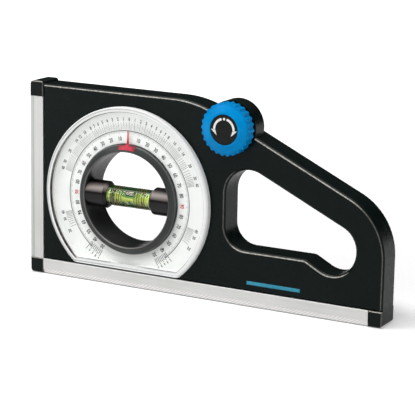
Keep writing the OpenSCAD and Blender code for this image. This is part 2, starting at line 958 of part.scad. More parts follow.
module knob_screw() {
    color([0.7, 0.7, 0.72])
        placed()
            difference() {
                union() {
                    rod(knob_c, head_r, -knob_h + 1.1, -knob_h + head_seat);
                    rod(knob_c, screw_r, -knob_h + 2, 1.2);
                }
                cross_recess(knob_c, -knob_h + 1.1, 1);
            }
}

// Flat ring with a mouth, snapped into the groove of the spindle
module knob_clip() {
    color([0.7, 0.7, 0.72])
        placed()
            difference() {
                band(knob_c, groove_r + fit, boss_r - wall - 0.8, clip_y, clip_y + clip_t);
                translate([knob_c[0] - groove_r + 0.6, clip_y - 1, knob_c[1] - boss_r])
                    cube([2 * groove_r - 1.2, clip_t + 2, boss_r - 1]);
            }
}

module friction_ring() {
    color([0.15, 0.15, 0.15])
        placed() band(knob_c, journal_r + 0.4, knob_r - 1.6, -knob_lift, -face_gap);
}

// Cross slot in the head of a screw, cut from depth y inward
module cross_recess(c, y, way) {
    for (t = [[cross_len, cross_w], [cross_w, cross_len]])
        translate([c[0] - t[0] / 2, way > 0 ? y - 1 : y - cross_t, c[1] - t[1] / 2])
            cube([t[0], 1 + cross_t, t[1]]);
}

module housing_screw(i) {
    p = screws[i];
    color([0.25, 0.25, 0.27])
        placed()
            difference() {
                union() {
                    rod(p, head_r, screw_seat, screw_seat + head_t);
                    rod(p, screw_r, screw_tip, screw_seat + 0.5);
                }
                cross_recess(p, screw_seat + head_t, -1);
            }
}

module housing_screw_1() { housing_screw(0); }
module housing_screw_2() { housing_screw(1); }
module housing_screw_3() { housing_screw(2); }
module housing_screw_4() { housing_screw(3); }
module housing_screw_5() { housing_screw(4); }
module housing_screw_6() { housing_screw(5); }

front_shell();
rear_shell();
base_rail();
side_rail();
corner_cap();
top_cap();
end_cap();
trim_strip();
dial_plate();
dial_cover();
vial_ring();
pointer();
ring_gear();
rear_ring();
holder_left();
holder_right();
vial_tube();
vial_liquid();
vial_plug_left();
vial_plug_right();
idler_gear();
idler_pin();
knob_spindle();
knob();
knob_disc();
knob_screw();
knob_clip();
friction_ring();
housing_screw_1();
housing_screw_2();
housing_screw_3();
housing_screw_4();
housing_screw_5();
housing_screw_6();
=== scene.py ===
import json
import math

import bmesh
import bpy
from mathutils import Matrix, Vector


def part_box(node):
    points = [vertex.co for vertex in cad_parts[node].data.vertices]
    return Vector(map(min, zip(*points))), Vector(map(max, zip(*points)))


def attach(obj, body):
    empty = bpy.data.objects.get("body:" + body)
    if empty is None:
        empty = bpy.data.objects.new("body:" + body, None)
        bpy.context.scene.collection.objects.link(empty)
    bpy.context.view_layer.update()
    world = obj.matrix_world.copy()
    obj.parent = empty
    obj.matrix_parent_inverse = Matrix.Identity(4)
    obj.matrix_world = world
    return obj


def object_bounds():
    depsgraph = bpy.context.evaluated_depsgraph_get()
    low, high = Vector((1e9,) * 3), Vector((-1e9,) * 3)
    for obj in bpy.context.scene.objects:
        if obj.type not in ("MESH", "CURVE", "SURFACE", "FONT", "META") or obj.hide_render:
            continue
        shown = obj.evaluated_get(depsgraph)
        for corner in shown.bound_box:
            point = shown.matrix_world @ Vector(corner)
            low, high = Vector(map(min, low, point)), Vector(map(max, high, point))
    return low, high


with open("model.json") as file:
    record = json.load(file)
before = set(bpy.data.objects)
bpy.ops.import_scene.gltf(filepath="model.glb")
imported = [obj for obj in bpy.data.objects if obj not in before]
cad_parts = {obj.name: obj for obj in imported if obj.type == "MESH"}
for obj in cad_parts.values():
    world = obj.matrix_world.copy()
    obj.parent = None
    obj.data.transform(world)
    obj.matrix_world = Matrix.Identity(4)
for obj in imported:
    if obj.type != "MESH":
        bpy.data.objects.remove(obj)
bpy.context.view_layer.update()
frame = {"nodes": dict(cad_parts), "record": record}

MM = 0.001


# Places and sizes read from the frame

def middle(node):
    low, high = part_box(node)
    return (low + high) / 2


def half_width(node):
    low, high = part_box(node)
    return (high.x - low.x) / 2


def half_height(node):
    low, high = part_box(node)
    return (high.z - low.z) / 2


front_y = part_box("base_rail")[0].y
part_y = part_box("front_shell")[1].y
side_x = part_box("side_rail")[0].x
plate_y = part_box("dial_plate")[0].y
disc_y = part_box("knob_disc")[0].y
dial = middle("rear_ring")
dial_r = half_width("dial_cover")
ring_r = half_width("vial_ring")
knob_mid = middle("knob_disc")
knob_r = half_width("knob")
vial = middle("vial_tube")
vial_r = half_height("vial_tube")
liquid_r = half_height("vial_liquid")


# Sizes of the solids that no box in the frame gives

BEVEL_W = 2.8 * MM   # outer bevel of the rails
RIM_W = 2.5 * MM     # rim of the dial's cover
SHEET_T = 1 * MM     # front sheet of the cover
BUBBLE_R = 1.9 * MM
ARM_IN = 1.2 * MM    # depth of the holders' arms in the ring

bore_r = (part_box("holder_right")[1].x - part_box("holder_left")[0].x) / 2 - ARM_IN


# Camera, fitted to the photograph

VIEW_YAW = math.radians(28.117)
VIEW_PITCH = math.radians(13.109)
VIEW_ROLL = math.radians(1.0193)
VIEW_FROM = Vector((0.41095, -0.76694, 0.24817))
VIEW_FOCUS_PX = 1789.16
PHOTO_PX = 415
SENSOR = 36


def make_camera():
    forward = Vector((
        -math.sin(VIEW_YAW) * math.cos(VIEW_PITCH),
        math.cos(VIEW_YAW) * math.cos(VIEW_PITCH),
        -math.sin(VIEW_PITCH),
    ))
    right = Vector((math.cos(VIEW_YAW), math.sin(VIEW_YAW), 0))
    up = right.cross(forward)
    across = math.cos(VIEW_ROLL) * right + math.sin(VIEW_ROLL) * up
    upward = math.cos(VIEW_ROLL) * up - math.sin(VIEW_ROLL) * right
    camera = bpy.data.objects.new("camera", bpy.data.cameras.new("camera"))
    camera.data.sensor_width = SENSOR
    camera.data.lens = VIEW_FOCUS_PX / PHOTO_PX * SENSOR
    camera.data.clip_start = 0.05
    camera.data.clip_end = 20
    turn = Matrix((across, upward, -forward)).transposed()
    camera.matrix_world = Matrix.Translation(VIEW_FROM) @ turn.to_4x4()
    bpy.context.collection.objects.link(camera)
    bpy.context.scene.camera = camera


# Materials

class Nodes:
    """Short calls for the nodes of a material or of the world."""

    def __init__(self, tree):
        self.tree = tree

    def add(self, kind, **settings):
        node = self.tree.nodes.new(kind)
        for key, value in settings.items():
            setattr(node, key, value)
        return node

    def feed(self, socket, value):
        """Link a socket to another node's output, or give it a number."""
        if isinstance(value, bpy.types.NodeSocket):
            self.tree.links.new(value, socket)
        else:
            socket.default_value = value

    def calc(self, kind, first, second=0.0, third=0.0):
        """Result of the arithmetic operation named by kind."""
        node = self.add("ShaderNodeMath", operation=kind)
        for socket, value in zip(node.inputs, (first, second, third)):
            self.feed(socket, value)
        return node.outputs[0]

    def product(self, first, *others):
        for other in others:
            first = self.calc("MULTIPLY", first, other)
        return first

    def larger(self, first, second):
        return self.calc("MAXIMUM", first, second)

    def apart(self, first, second):
        return self.calc("ABSOLUTE", self.calc("SUBTRACT", first, second))

    def length(self, *parts):
        """Length of the vector with these parts."""
        total = 0.0
        for part in parts:
            total = self.calc("MULTIPLY_ADD", part, part, total)
        return self.calc("SQRT", total)

    def axes(self, vector):
        node = self.add("ShaderNodeSeparateXYZ")
        self.feed(node.inputs[0], vector)
        return node.outputs

    def combined(self, x, y, z):
        node = self.add("ShaderNodeCombineXYZ")
        for socket, value in zip(node.inputs, (x, y, z)):
            self.feed(socket, value)
        return node.outputs[0]

    def span(self, value, low, high, to_low=0.0, to_high=1.0):
        """to_low up to low, to_high from high on, and a straight run between them."""
        node = self.add("ShaderNodeMapRange")
        for socket, number in zip(node.inputs, (value, low, high, to_low, to_high)):
            self.feed(socket, number)
        return node.outputs[0]

    def near(self, value, place, width):
        """1 close to place, falling to 0 where value is width away from it."""
        return self.span(self.apart(value, place), width * 0.7, width, 1, 0)

    def rays(self):
        """Three shares, each 0 or 1: rays of the camera, also through clear plastic, rays
        thrown back by gloss, and rays that a matt surface has scattered."""
        path = self.add("ShaderNodeLightPath").outputs
        straight = self.calc("LESS_THAN", path["Diffuse Depth"], 0.5)
        camera, clear, gloss = (
            self.product(path[kind], straight)
            for kind in ("Is Camera Ray", "Is Transmission Ray", "Is Glossy Ray")
        )
        return self.larger(camera, clear), gloss, self.calc("SUBTRACT", 1, straight)


class Finish(Nodes):
    """A material with one Principled shader, which gets the constants given by name."""

    def __init__(self, name, **constants):
        self.material = bpy.data.materials.new(name)
        self.material.use_nodes = True
        super().__init__(self.material.node_tree)
        self.shader = self.tree.nodes["Principled BSDF"]
        self.output = self.tree.nodes["Material Output"]
        self.place = self.add("ShaderNodeTexCoord").outputs["Object"]
        for socket, value in constants.items():
            self.shader.inputs[socket.replace("_", " ")].default_value = value

    def shifted(self, origin=(0, 0, 0), scale=(1, 1, 1), turn=(0, 0, 0)):
        """Object coordinates about origin, turned or scaled."""
        move = self.add("ShaderNodeVectorMath", operation="SUBTRACT")
        self.feed(move.inputs[0], self.place)
        move.inputs[1].default_value = origin
        node = self.add("ShaderNodeMapping")
        self.feed(node.inputs["Vector"], move.outputs[0])
        node.inputs["Rotation"].default_value = turn
        node.inputs["Scale"].default_value = scale
        return node.outputs[0]

    def noise(self, scale, detail, rough=0.55, vector=None):
        node = self.add("ShaderNodeTexNoise")
        self.feed(node.inputs["Vector"], vector or self.place)
        node.inputs["Scale"].default_value = scale
        node.inputs["Detail"].default_value = detail
        node.inputs["Roughness"].default_value = rough
        return node.outputs["Fac"]

    def streaks(self, *scale, detail=4):
        """Noise with a scale of its own along each axis."""
        return self.noise(1, detail, 0.6, self.shifted(scale=scale))

    def ramp(self, value, stops):
        node = self.add("ShaderNodeValToRGB")
        self.feed(node.inputs[0], value)
        knots = node.color_ramp.elements
        while len(knots) < len(stops):
            knots.new(0.5)
        for knot, (place, colour) in zip(knots, stops):
            knot.position = place
            knot.color = (*colour, 1)
        return node.outputs[0]

    def tones(self, pattern, first, second, low=0.3, high=0.7):
        """From one colour to another over the middle of a noise pattern."""
        return self.ramp(pattern, [(low, first), (high, second)])

    def blend(self, share, first, second):
        node = self.add("ShaderNodeMix", data_type="RGBA")
        self.feed(node.inputs["Factor"], share)
        for socket, value in ((node.inputs[6], first), (node.inputs[7], second)):
            plain = not isinstance(value, bpy.types.NodeSocket)
            self.feed(socket, (*value, 1) if plain else value)
        return node.outputs[2]

    def drive(self, socket, value):
        """Let a value that changes over the surface set one of the shader's sockets."""
        self.feed(self.shader.inputs[socket], value)

    def colour(self, value):
        self.drive("Base Color", value)

    def rough(self, pattern, low, high):
        """Roughness from low to high over the middle of a noise pattern."""
        self.drive("Roughness", self.span(pattern, 0.3, 0.7, low, high))

    def bump(self, height, depth, strength, bevel=0.0):
        """Height from 0 to 1 over depth in metres, on edges softened by bevel."""
        node = self.add("ShaderNodeBump")
        node.inputs["Strength"].default_value = strength
        node.inputs["Distance"].default_value = depth
        self.feed(node.inputs["Height"], height)
        if bevel:
            soft = self.add("ShaderNodeBevel", samples=6)
            soft.inputs["Radius"].default_value = bevel
            self.feed(node.inputs["Normal"], soft.outputs[0])
        self.drive("Normal", node.outputs[0])

    def lets_light_through(self, tint, gone=0.0):
        """Rays to the lamps pass, tinted, so that what lies behind clear plastic is lit.
        Where gone is 1 the surface isn't seen at all."""
        path = self.add("ShaderNodeLightPath")
        open_air = self.add("ShaderNodeBsdfTransparent")
        open_air.inputs[0].default_value = (*tint, 1)
        mix = self.add("ShaderNodeMixShader")
        self.feed(mix.inputs[0], self.larger(path.outputs["Is Shadow Ray"], gone))
        self.feed(mix.inputs[1], self.shader.outputs[0])
        self.feed(mix.inputs[2], open_air.outputs[0])
        self.feed(self.output.inputs["Surface"], mix.outputs[0])


# Radius to which sharp edges are softened in the shading
EDGE = 0.3 * MM


def moulded(name, dark, light, rough, parting=True):
    """Semi-gloss moulded plastic: a fine texture, faint clouding, a painted highlight along the
    upper and right front edges, and on the shells the line where they meet."""
    f = Finish(name, IOR=1.3, Specular_IOR_Level=0.24)
    y = f.axes(f.place)[1]
    shade = f.tones(f.noise(24, 4), dark, light, 0.35, 0.65)
    texture = f.noise(2600, 2)
    if parting:
        line = f.span(f.apart(y, part_y), 0.05 * MM, 0.16 * MM, 1, 0)
        shade = f.blend(f.product(line, 0.8), shade, (0.001, 0.001, 0.001))
        f.bump(f.calc("SUBTRACT", f.product(texture, 0.25), line), 0.06 * MM, 0.7, EDGE)
    else:
        f.bump(texture, 0.02 * MM, 0.6, EDGE)
    # Painted highlight on the front bevels that face up or right, picked by the way they face and
    # broken up by noise
    right, out, up = f.axes(f.add("ShaderNodeNewGeometry").outputs["True Normal"])
    edge_highlight = f.product(
        f.span(out, -0.8, -0.35, 1, 0),
        f.larger(f.span(up, 0.5, 0.62), f.span(right, 0.36, 0.5, 0, 0.3)),
        f.span(f.calc("SUBTRACT", y, front_y), 0.4 * MM, 0.55 * MM, 1, 0),
        f.span(f.noise(900, 3), 0.35, 0.6, 0.55, 1),
    )
    f.colour(f.blend(edge_highlight, shade, (0.6, 0.58, 0.53)))
    f.rough(f.noise(300, 4), rough - 0.05, rough + 0.06)
    return f.material


def aluminium():
    """Anodised extrusion: long drawn lines, a milled lower bevel, and painted highlights on edges
    and bevels.
    """
    f = Finish("rail_aluminium", Metallic=0.75, Specular_IOR_Level=0.3)
    low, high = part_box("base_rail")
    x, _, z = f.axes(f.place)
    # The side rail stands above the base rail
    upright = f.span(z, high.z - 0.1 * MM, high.z)
    lying = f.calc("SUBTRACT", 1, upright)
    along_x = f.product(f.streaks(18, 2600, 2600), lying)
    along_z = f.product(f.streaks(2600, 2600, 18), upright)
    lines = f.calc("ADD", along_x, along_z)
    mixed = f.calc("ADD", f.product(lines, 0.6), f.product(f.noise(38, 2), 0.4))
    base = f.ramp(mixed, [
        (0.3, (0.57, 0.585, 0.56)), (0.5, (0.68, 0.68, 0.66)), (0.7, (0.76, 0.74, 0.735)),
    ])
    # Diagonal milling on the bevel of the base rail, with a painted reflection that makes it
    # brighter than the face, and a grey line along its foot
    mill = f.add("ShaderNodeTexWave", wave_type="BANDS", bands_direction="X")
    f.feed(mill.inputs["Vector"], f.shifted(turn=(0, math.radians(-60), 0)))
    mill.inputs["Scale"].default_value = 290
    mill.inputs["Distortion"].default_value = 2.5
    mill.inputs["Detail"].default_value = 2
    strokes = mill.outputs["Fac"]
    on_bevel = f.product(lying, f.span(z, BEVEL_W - 0.1 * MM, BEVEL_W + 0.1 * MM, 1, 0))
    bright = f.tones(strokes, (0.64, 0.615, 0.605), (0.8, 0.79, 0.78), 0.2, 0.8)
    foot = f.span(z, low.z + 0.4 * MM, low.z + 0.7 * MM, 1, 0)
    base = f.blend(on_bevel, base, f.blend(foot, bright, (0.3, 0.31, 0.3)))
    # The outer bevel of the side rail is painted light: from a highlight at its edge to a darker
    # greenish grey
    outer = f.span(x, side_x, side_x + BEVEL_W)
    on_outer = f.product(upright, f.span(outer, 0.95, 1.0, 1, 0))
    base = f.blend(on_outer, base, f.ramp(outer, [
        (0.1, (0.6, 0.6, 0.6)), (0.45, (0.56, 0.58, 0.56)), (0.75, (0.42, 0.46, 0.42)),
    ]))
    base = f.blend(f.product(upright, 0.12), base, (0.3, 0.3, 0.3))
    # Painted highlight along the upper edge of the base rail
    edge = f.product(lying, f.span(z, high.z - 0.45 * MM, high.z - 0.3 * MM))
    f.colour(f.blend(edge, base, (0.95, 0.95, 0.94)))
    f.rough(lines, 0.34, 0.48)
    f.bump(f.calc("ADD", lines, f.product(strokes, on_bevel)), 0.01 * MM, 0.5, EDGE)
    return f.material


def white_plate():
    """Satin printed sheet, with a faint grey cloud and a fine tooth."""
    f = Finish("plate_white", IOR=1.45)
    f.colour(f.tones(f.noise(70, 4), (0.86, 0.865, 0.845), (0.92, 0.925, 0.905)))
    f.rough(f.noise(900, 2), 0.38, 0.5)
    f.bump(f.noise(3500, 2), 0.01 * MM, 0.3)
    return f.material


def clear_cover():
    """Clear plastic: polished sheet, milky rim, and painted shade on the inner wall where the rim
    ends.
    """
    f = Finish("cover_clear", IOR=1.12)
    x, y, z = f.axes(f.shifted(origin=dial))
    away = f.length(x, z)
    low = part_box("dial_cover")[0]
    sheet_y = low.y - dial.y
    low_z = low.z - dial.z
    inner_r = dial_r - RIM_W
    inner_z = low_z + RIM_W
    rim = f.larger(
        f.span(away, inner_r + 0.1 * MM, inner_r + 0.3 * MM),
        f.span(z, inner_z - 0.3 * MM, inner_z - 0.1 * MM, 1, 0),
    )
    shaded_wall = f.product(
        f.span(y, sheet_y + 0.9 * SHEET_T, sheet_y + SHEET_T),
        f.larger(f.near(away, inner_r, 0.16 * MM), f.near(z, inner_z, 0.2 * MM)),
    )
    # Painted shade of a step near the rim's outer edge, which fades to the right
    milky = f.tones(f.noise(400, 3), (0.93, 0.94, 0.93), (0.98, 0.985, 0.98))
    step_shade = f.product(
        f.larger(
            f.near(away, dial_r - 0.9 * MM, 0.4 * MM),
            f.near(z, low_z + 0.9 * MM, 0.4 * MM),
        ),
        f.span(x, -10 * MM, 30 * MM, 0.6, 0.1),
    )
    milky = f.blend(step_shade, milky, (0.38, 0.41, 0.39))
    # The wall is painted as shade: dark above its foot and pale at its rear edge
    shade = f.tones(
        f.span(z, inner_z, inner_z + 6 * MM), (0.6, 0.6, 0.59), (0.1, 0.1, 0.092), 0.1, 0.6)
    deep = f.span(y, sheet_y + 1.9 * SHEET_T, sheet_y + 2.2 * SHEET_T)
    grey = f.blend(deep, shade, (0.75, 0.75, 0.73))
    clear = f.tones(f.noise(90, 2), (0.96, 0.97, 0.97), (1, 1, 1))
    f.colour(f.blend(shaded_wall, f.blend(rim, clear, milky), grey))
    shut = f.larger(shaded_wall, f.product(rim, 0.97))
    f.drive("Transmission Weight", f.calc("SUBTRACT", 1, shut))
    f.drive("Roughness", f.span(shut, 0, 1, 0.01, 0.35))
    f.bump(f.noise(120, 2), 0.004 * MM, 0.3)
    # The edge of the hole round the ring isn't seen
    hole_r = ring_r + 0.6 * MM
    f.lets_light_through((0.96, 0.97, 0.97), f.span(away, hole_r, hole_r + 0.1 * MM, 1, 0))
    return f.material


def ring_black():
    """Turned black ring: fine rings round the dial's axis; the cone in front is painted a lighter
    grey as lit, with painted highlights on its lips.
    """
    f = Finish("ring_black", IOR=1.4, Specular_IOR_Level=0.4)
    x, y, z = f.axes(f.shifted(origin=dial))
    away = f.length(x, z)
    turning = f.combined(f.product(away, 9000), f.product(y, 300), 0)
    rings = f.noise(1, 3, 0.6, turning)
    shade = f.tones(f.noise(80, 4), (0.006, 0.008, 0.008), (0.014, 0.015, 0.014))
    face_y = front_y - dial.y
    # Painted light: the front cone is greyer than the rest of the ring
    on_cone = f.product(
        f.span(y, face_y - 0.6 * MM, face_y - 0.2 * MM, 1, 0),
        f.span(away, bore_r - 0.1 * MM, bore_r + 0.1 * MM),
    )
    cone = f.tones(
        f.span(away, bore_r, ring_r), (0.03, 0.035, 0.033), (0.044, 0.049, 0.047), 0.15, 0.8)
    # Painted highlights on the lips of the cone, inside and outside
    lip_highlight = f.larger(
        f.near(away, bore_r + 0.35 * MM, 0.3 * MM),
        f.product(f.near(away, ring_r - 0.6 * MM, 0.3 * MM), 0.35),
    )
    cone = f.blend(f.product(lip_highlight, 0.8), cone, (0.2, 0.19, 0.18))
    f.colour(f.blend(on_cone, shade, cone))
    f.rough(rings, 0.28, 0.4)
    f.bump(rings, 0.01 * MM, 0.35, EDGE)
    return f.material


def holder_black():
    """Polished black moulding of the vial's holders."""
    f = Finish("holder_black", IOR=1.5, Specular_IOR_Level=0.25)
    shade = f.tones(f.noise(120, 4), (0.005, 0.004, 0.005), (0.01, 0.008, 0.009))
    # A painted highlight along the upper front, soft to both sides. The direction
    # is the piece's own, so the pale band turns with the ring.
    own = f.add(
        "ShaderNodeVectorTransform", vector_type="NORMAL",
        convert_from="WORLD", convert_to="OBJECT")
    f.feed(own.inputs[0], f.add("ShaderNodeNewGeometry").outputs["True Normal"])
    _, out, up = f.axes(own.outputs[0])
    pale = f.product(f.span(f.apart(up, 0.6), 0.04, 0.34, 0.85, 0), f.span(out, -0.5, -0.2, 1, 0))
    f.colour(f.blend(pale, shade, (0.38, 0.33, 0.305)))
    f.rough(f.noise(600, 3), 0.28, 0.34)
    f.bump(f.noise(400, 2), 0.005 * MM, 0.2, 0.2 * MM)
    return f.material


def pointer_red():
    """Red gloss paint, dark at the ring's outer edge and fading into painted shade towards both
    ends.
    """
    f = Finish("pointer_red", IOR=1.46, Specular_IOR_Level=0.3)
    x, _, z = f.axes(f.shifted(origin=dial))
    aside = f.calc("ABSOLUTE", x)
    red = f.tones(f.streaks(240, 240, 700), (0.46, 0.012, 0.032), (0.7, 0.04, 0.085), 0.25, 0.75)
    # Dark at the ring's outer edge beside the needle, and painted shade towards both ends of the
    # patch
    outer = f.product(
        f.span(f.length(x, z), ring_r - 1.4 * MM, ring_r - 0.7 * MM),
        f.span(aside, 0.6 * MM, 1 * MM),
    )
    outer = f.larger(outer, f.span(aside, 2.6 * MM, 5.2 * MM, 0, 0.95))
    f.colour(f.blend(outer, red, (0.08, 0.024, 0.026)))
    f.rough(f.noise(500, 3), 0.25, 0.37)
    f.bump(f.noise(900, 3), 0.02 * MM, 0.35)
    return f.material


def glossy_paint(name, dark, light, rough=0.25, **constants):
    """Bright moulded or painted piece with flow marks and a soft orange peel."""
    f = Finish(name, IOR=1.46, **constants)
    f.colour(f.tones(f.streaks(110, 110, 260), dark, light, 0.25, 0.75))
    f.rough(f.noise(500, 3), rough - 0.05, rough + 0.07)
    f.bump(f.noise(900, 3), 0.02 * MM, 0.35, EDGE)
    return f.material


def knob_blue():
    """Blue moulding with a slightly domed face, and painted shade in the grooves between its
    ribs.
    """
    f = Finish("knob_blue", IOR=1.35, Specular_IOR_Level=0.1)
    x, _, z = f.axes(f.shifted(origin=knob_mid))
    away = f.length(x, z)
    base = f.tones(f.streaks(160, 160, 260), (0.0, 0.24, 0.6), (0.0, 0.31, 0.74), 0.25, 0.75)
    # Painted shade in a band near the rim, where the grooves lie
    groove_shade = f.product(
        f.span(away, knob_r - 1.1 * MM, knob_r - 0.2 * MM, 1, 0),
        f.span(away, knob_r - 1.4 * MM, knob_r - 1.1 * MM),
    )
    f.colour(f.blend(f.product(groove_shade, 0.3), base, (0.0, 0.06, 0.24)))
    f.rough(f.noise(420, 3), 0.26, 0.4)
    dome = f.calc("SUBTRACT", 1, f.calc("POWER", f.calc("DIVIDE", away, knob_r), 2))
    f.bump(f.calc("MULTIPLY_ADD", f.noise(700, 3), 0.015, dome), 1.3 * MM, 1.0, EDGE)
    return f.material


def vial_clear():
    """Clear tube, with painted dark green shade along its upper and lower sides."""
    f = Finish("vial_clear", IOR=1.4, Roughness=0.02)
    z = f.axes(f.shifted(origin=vial))[2]
    clear = f.tones(f.noise(200, 2), (0.9, 0.96, 0.8), (0.97, 1.0, 0.9))
    # Painted shade: the upper and lower sides are dark green and less clear
    side = f.span(f.calc("ABSOLUTE", z), 0.7 * vial_r, 0.86 * vial_r)
    f.colour(f.blend(side, clear, (0.012, 0.06, 0.012)))
    f.drive("Transmission Weight", f.span(side, 0, 1, 1, 0.15))
    f.bump(f.noise(160, 2), 0.004 * MM, 0.3)
    f.lets_light_through((0.93, 0.97, 0.85))
    return f.material


# Place of the vial's first printed ring from its middle, and the rings' mean distance
RING_FIRST = 3.85 * MM
RING_PITCH = 1.39 * MM


def vial_liquid():
    """Yellow-green liquid with painted shade above and below, painted streaks of light, and a
    painted bubble.
    """
    f = Finish("vial_liquid", IOR=1.33, Specular_IOR_Level=0.3)
    x, _, z = f.axes(f.shifted(origin=vial))
    streak = f.streaks(420, 300, 520, detail=3)
    # Painted shade above and below, with painted streaks of light through the middle
    height = f.span(z, -liquid_r, liquid_r)
    mixed = f.calc("ADD", height, f.product(f.calc("SUBTRACT", streak, 0.5), 0.9))
    body = f.ramp(mixed, [
        (0.0, (0.003, 0.05, 0.006)), (0.24, (0.008, 0.1, 0.012)), (0.36, (0.45, 0.55, 0.04)),
        (0.55, (0.66, 0.7, 0.16)), (0.7, (0.36, 0.54, 0.12)), (0.82, (0.04, 0.15, 0.03)),
        (1.0, (0.008, 0.04, 0.01)),
    ])
    # Painted highlights in stripes between the printed rings, and a dark band near the left end
    out = f.calc("ABSOLUTE", x)
    turns = f.product(f.calc("SUBTRACT", out, RING_FIRST), 2 * math.pi / RING_PITCH)
    stripes = f.product(
        f.span(f.calc("COSINE", turns), 0.1, -0.7),
        f.span(out, RING_FIRST, RING_FIRST + 0.2 * MM),
        f.span(f.calc("ABSOLUTE", z), 0.85 * liquid_r, liquid_r, 0.7, 0),
    )
    body = f.blend(stripes, body, (0.76, 0.84, 0.26))
    band = f.product(f.near(x, -9.6 * MM, 1.7 * MM), 0.92)
    body = f.blend(band, body, (0.006, 0.05, 0.02))
    # Bubble under the top of the liquid, with painted light: pale inside, with a dark and a light
    # outline. The outline lies round a short line along x.
    reach = 2.4 * MM
    along = f.calc("MINIMUM", f.larger(x, -0.6 * BUBBLE_R), BUBBLE_R)
    off = f.length(f.calc("SUBTRACT", x, along), f.calc("SUBTRACT", z, 0.72 * liquid_r))
    bubble = f.ramp(f.span(off, 0, reach), [
        (0.0, (0.3, 0.21, 0.24)), (0.24, (0.24, 0.17, 0.17)), (0.36, (0.012, 0.04, 0.02)),
        (0.68, (0.02, 0.09, 0.03)), (0.76, (0.25, 0.42, 0.12)), (0.86, (0.2, 0.36, 0.1)),
        (0.95, (0.015, 0.09, 0.02)),
    ])
    f.colour(f.blend(f.span(off, reach - 0.1 * MM, reach, 1, 0), body, bubble))
    f.rough(streak, 0.05, 0.15)
    f.lets_light_through((0.75, 0.9, 0.3))
    return f.material


def steel(name, tone):
    """Turned or plated steel with fine tool marks."""
    f = Finish(name, Metallic=1.0)
    scratch = f.streaks(1200, 1200, 160)
    f.colour(f.tones(scratch, tuple(0.8 * part for part in tone), tone))
    f.rough(scratch, 0.25, 0.4)
    f.bump(scratch, 0.01 * MM, 0.4, 0.2 * MM)
    return f.material


def ink(name, tone, thin):
    """Printing ink, a little thin here and there."""
    f = Finish(name, IOR=1.4)
    f.colour(f.tones(f.noise(1200, 3), tone, thin))
    f.rough(f.noise(800, 2), 0.4, 0.55)
    return f.material


def make_finishes():
    """A material for each slot of the record, and one more for the vial's holders."""
    return {
        "holder_black": holder_black(),
        "shell_black": moulded(
            "shell_black", (0.001, 0.0045, 0.004), (0.003, 0.0068, 0.0062), 0.3),
        "rail_silver": aluminium(),
        "cap_black": moulded(
            "cap_black", (0.0035, 0.007, 0.0062), (0.0065, 0.0095, 0.0085), 0.34, parting=False),
        "strip_blue": glossy_paint("strip_blue", (0.01, 0.21, 0.33), (0.02, 0.32, 0.46)),
        "plate_white": white_plate(),
        "cover_clear": clear_cover(),
        "ring_black": ring_black(),
        "pointer_red": pointer_red(),
        "gear_cream": glossy_paint("gear_cream", (0.6, 0.57, 0.47), (0.68, 0.65, 0.55), 0.4),
        "vial_clear": vial_clear(),
        "vial_liquid": vial_liquid(),
        "plug_dark": glossy_paint("plug_dark", (0.01, 0.02, 0.01), (0.03, 0.04, 0.02), 0.4),
        "steel": steel("steel", (0.62, 0.62, 0.63)),
        "screw_black": steel("screw_black", (0.06, 0.06, 0.065)),
        "knob_blue": knob_blue(),
        "disc_black": glossy_paint(
            "disc_black", (0.003, 0.004, 0.004), (0.006, 0.007, 0.007), Specular_IOR_Level=0.15),
        "felt_dark": glossy_paint("felt_dark", (0.015, 0.015, 0.015), (0.03, 0.03, 0.03), 0.8),
    }


def dress_nodes(finishes):
    for row in frame["record"]["subparts"]:
        name = "holder_black" if row["node"].startswith("holder") else row["material_slot"]
        node = frame["nodes"][row["node"]]
        node.data.materials.clear()
        node.data.materials.append(finishes[name])


# Print: thin raised ink on the dial, the disc and the vial

INK_T = 0.03 * MM


def polar(angle, radius):
    """Point at an angle in degrees from the top, clockwise as seen from the front."""
    turn = math.radians(angle)
    return math.sin(turn) * radius, math.cos(turn) * radius


def skin(mesh, rings):
    """Faces between neighbouring rings of four points."""
    for one, two in zip(rings, rings[1:]):
        for i in range(4):
            j = (i + 1) % 4
            mesh.faces.new((one[i], one[j], two[j], two[i]))


def add_piece(mesh, name, body, material):
    """Make a finished mesh an object that rides on a body."""
    bmesh.ops.recalc_face_normals(mesh, faces=mesh.faces)
    data = bpy.data.meshes.new(name)
    mesh.to_mesh(data)
    mesh.free()
    data.materials.append(material)
    piece = bpy.data.objects.new(name, data)
    bpy.context.collection.objects.link(piece)
    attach(piece, body)
    return piece


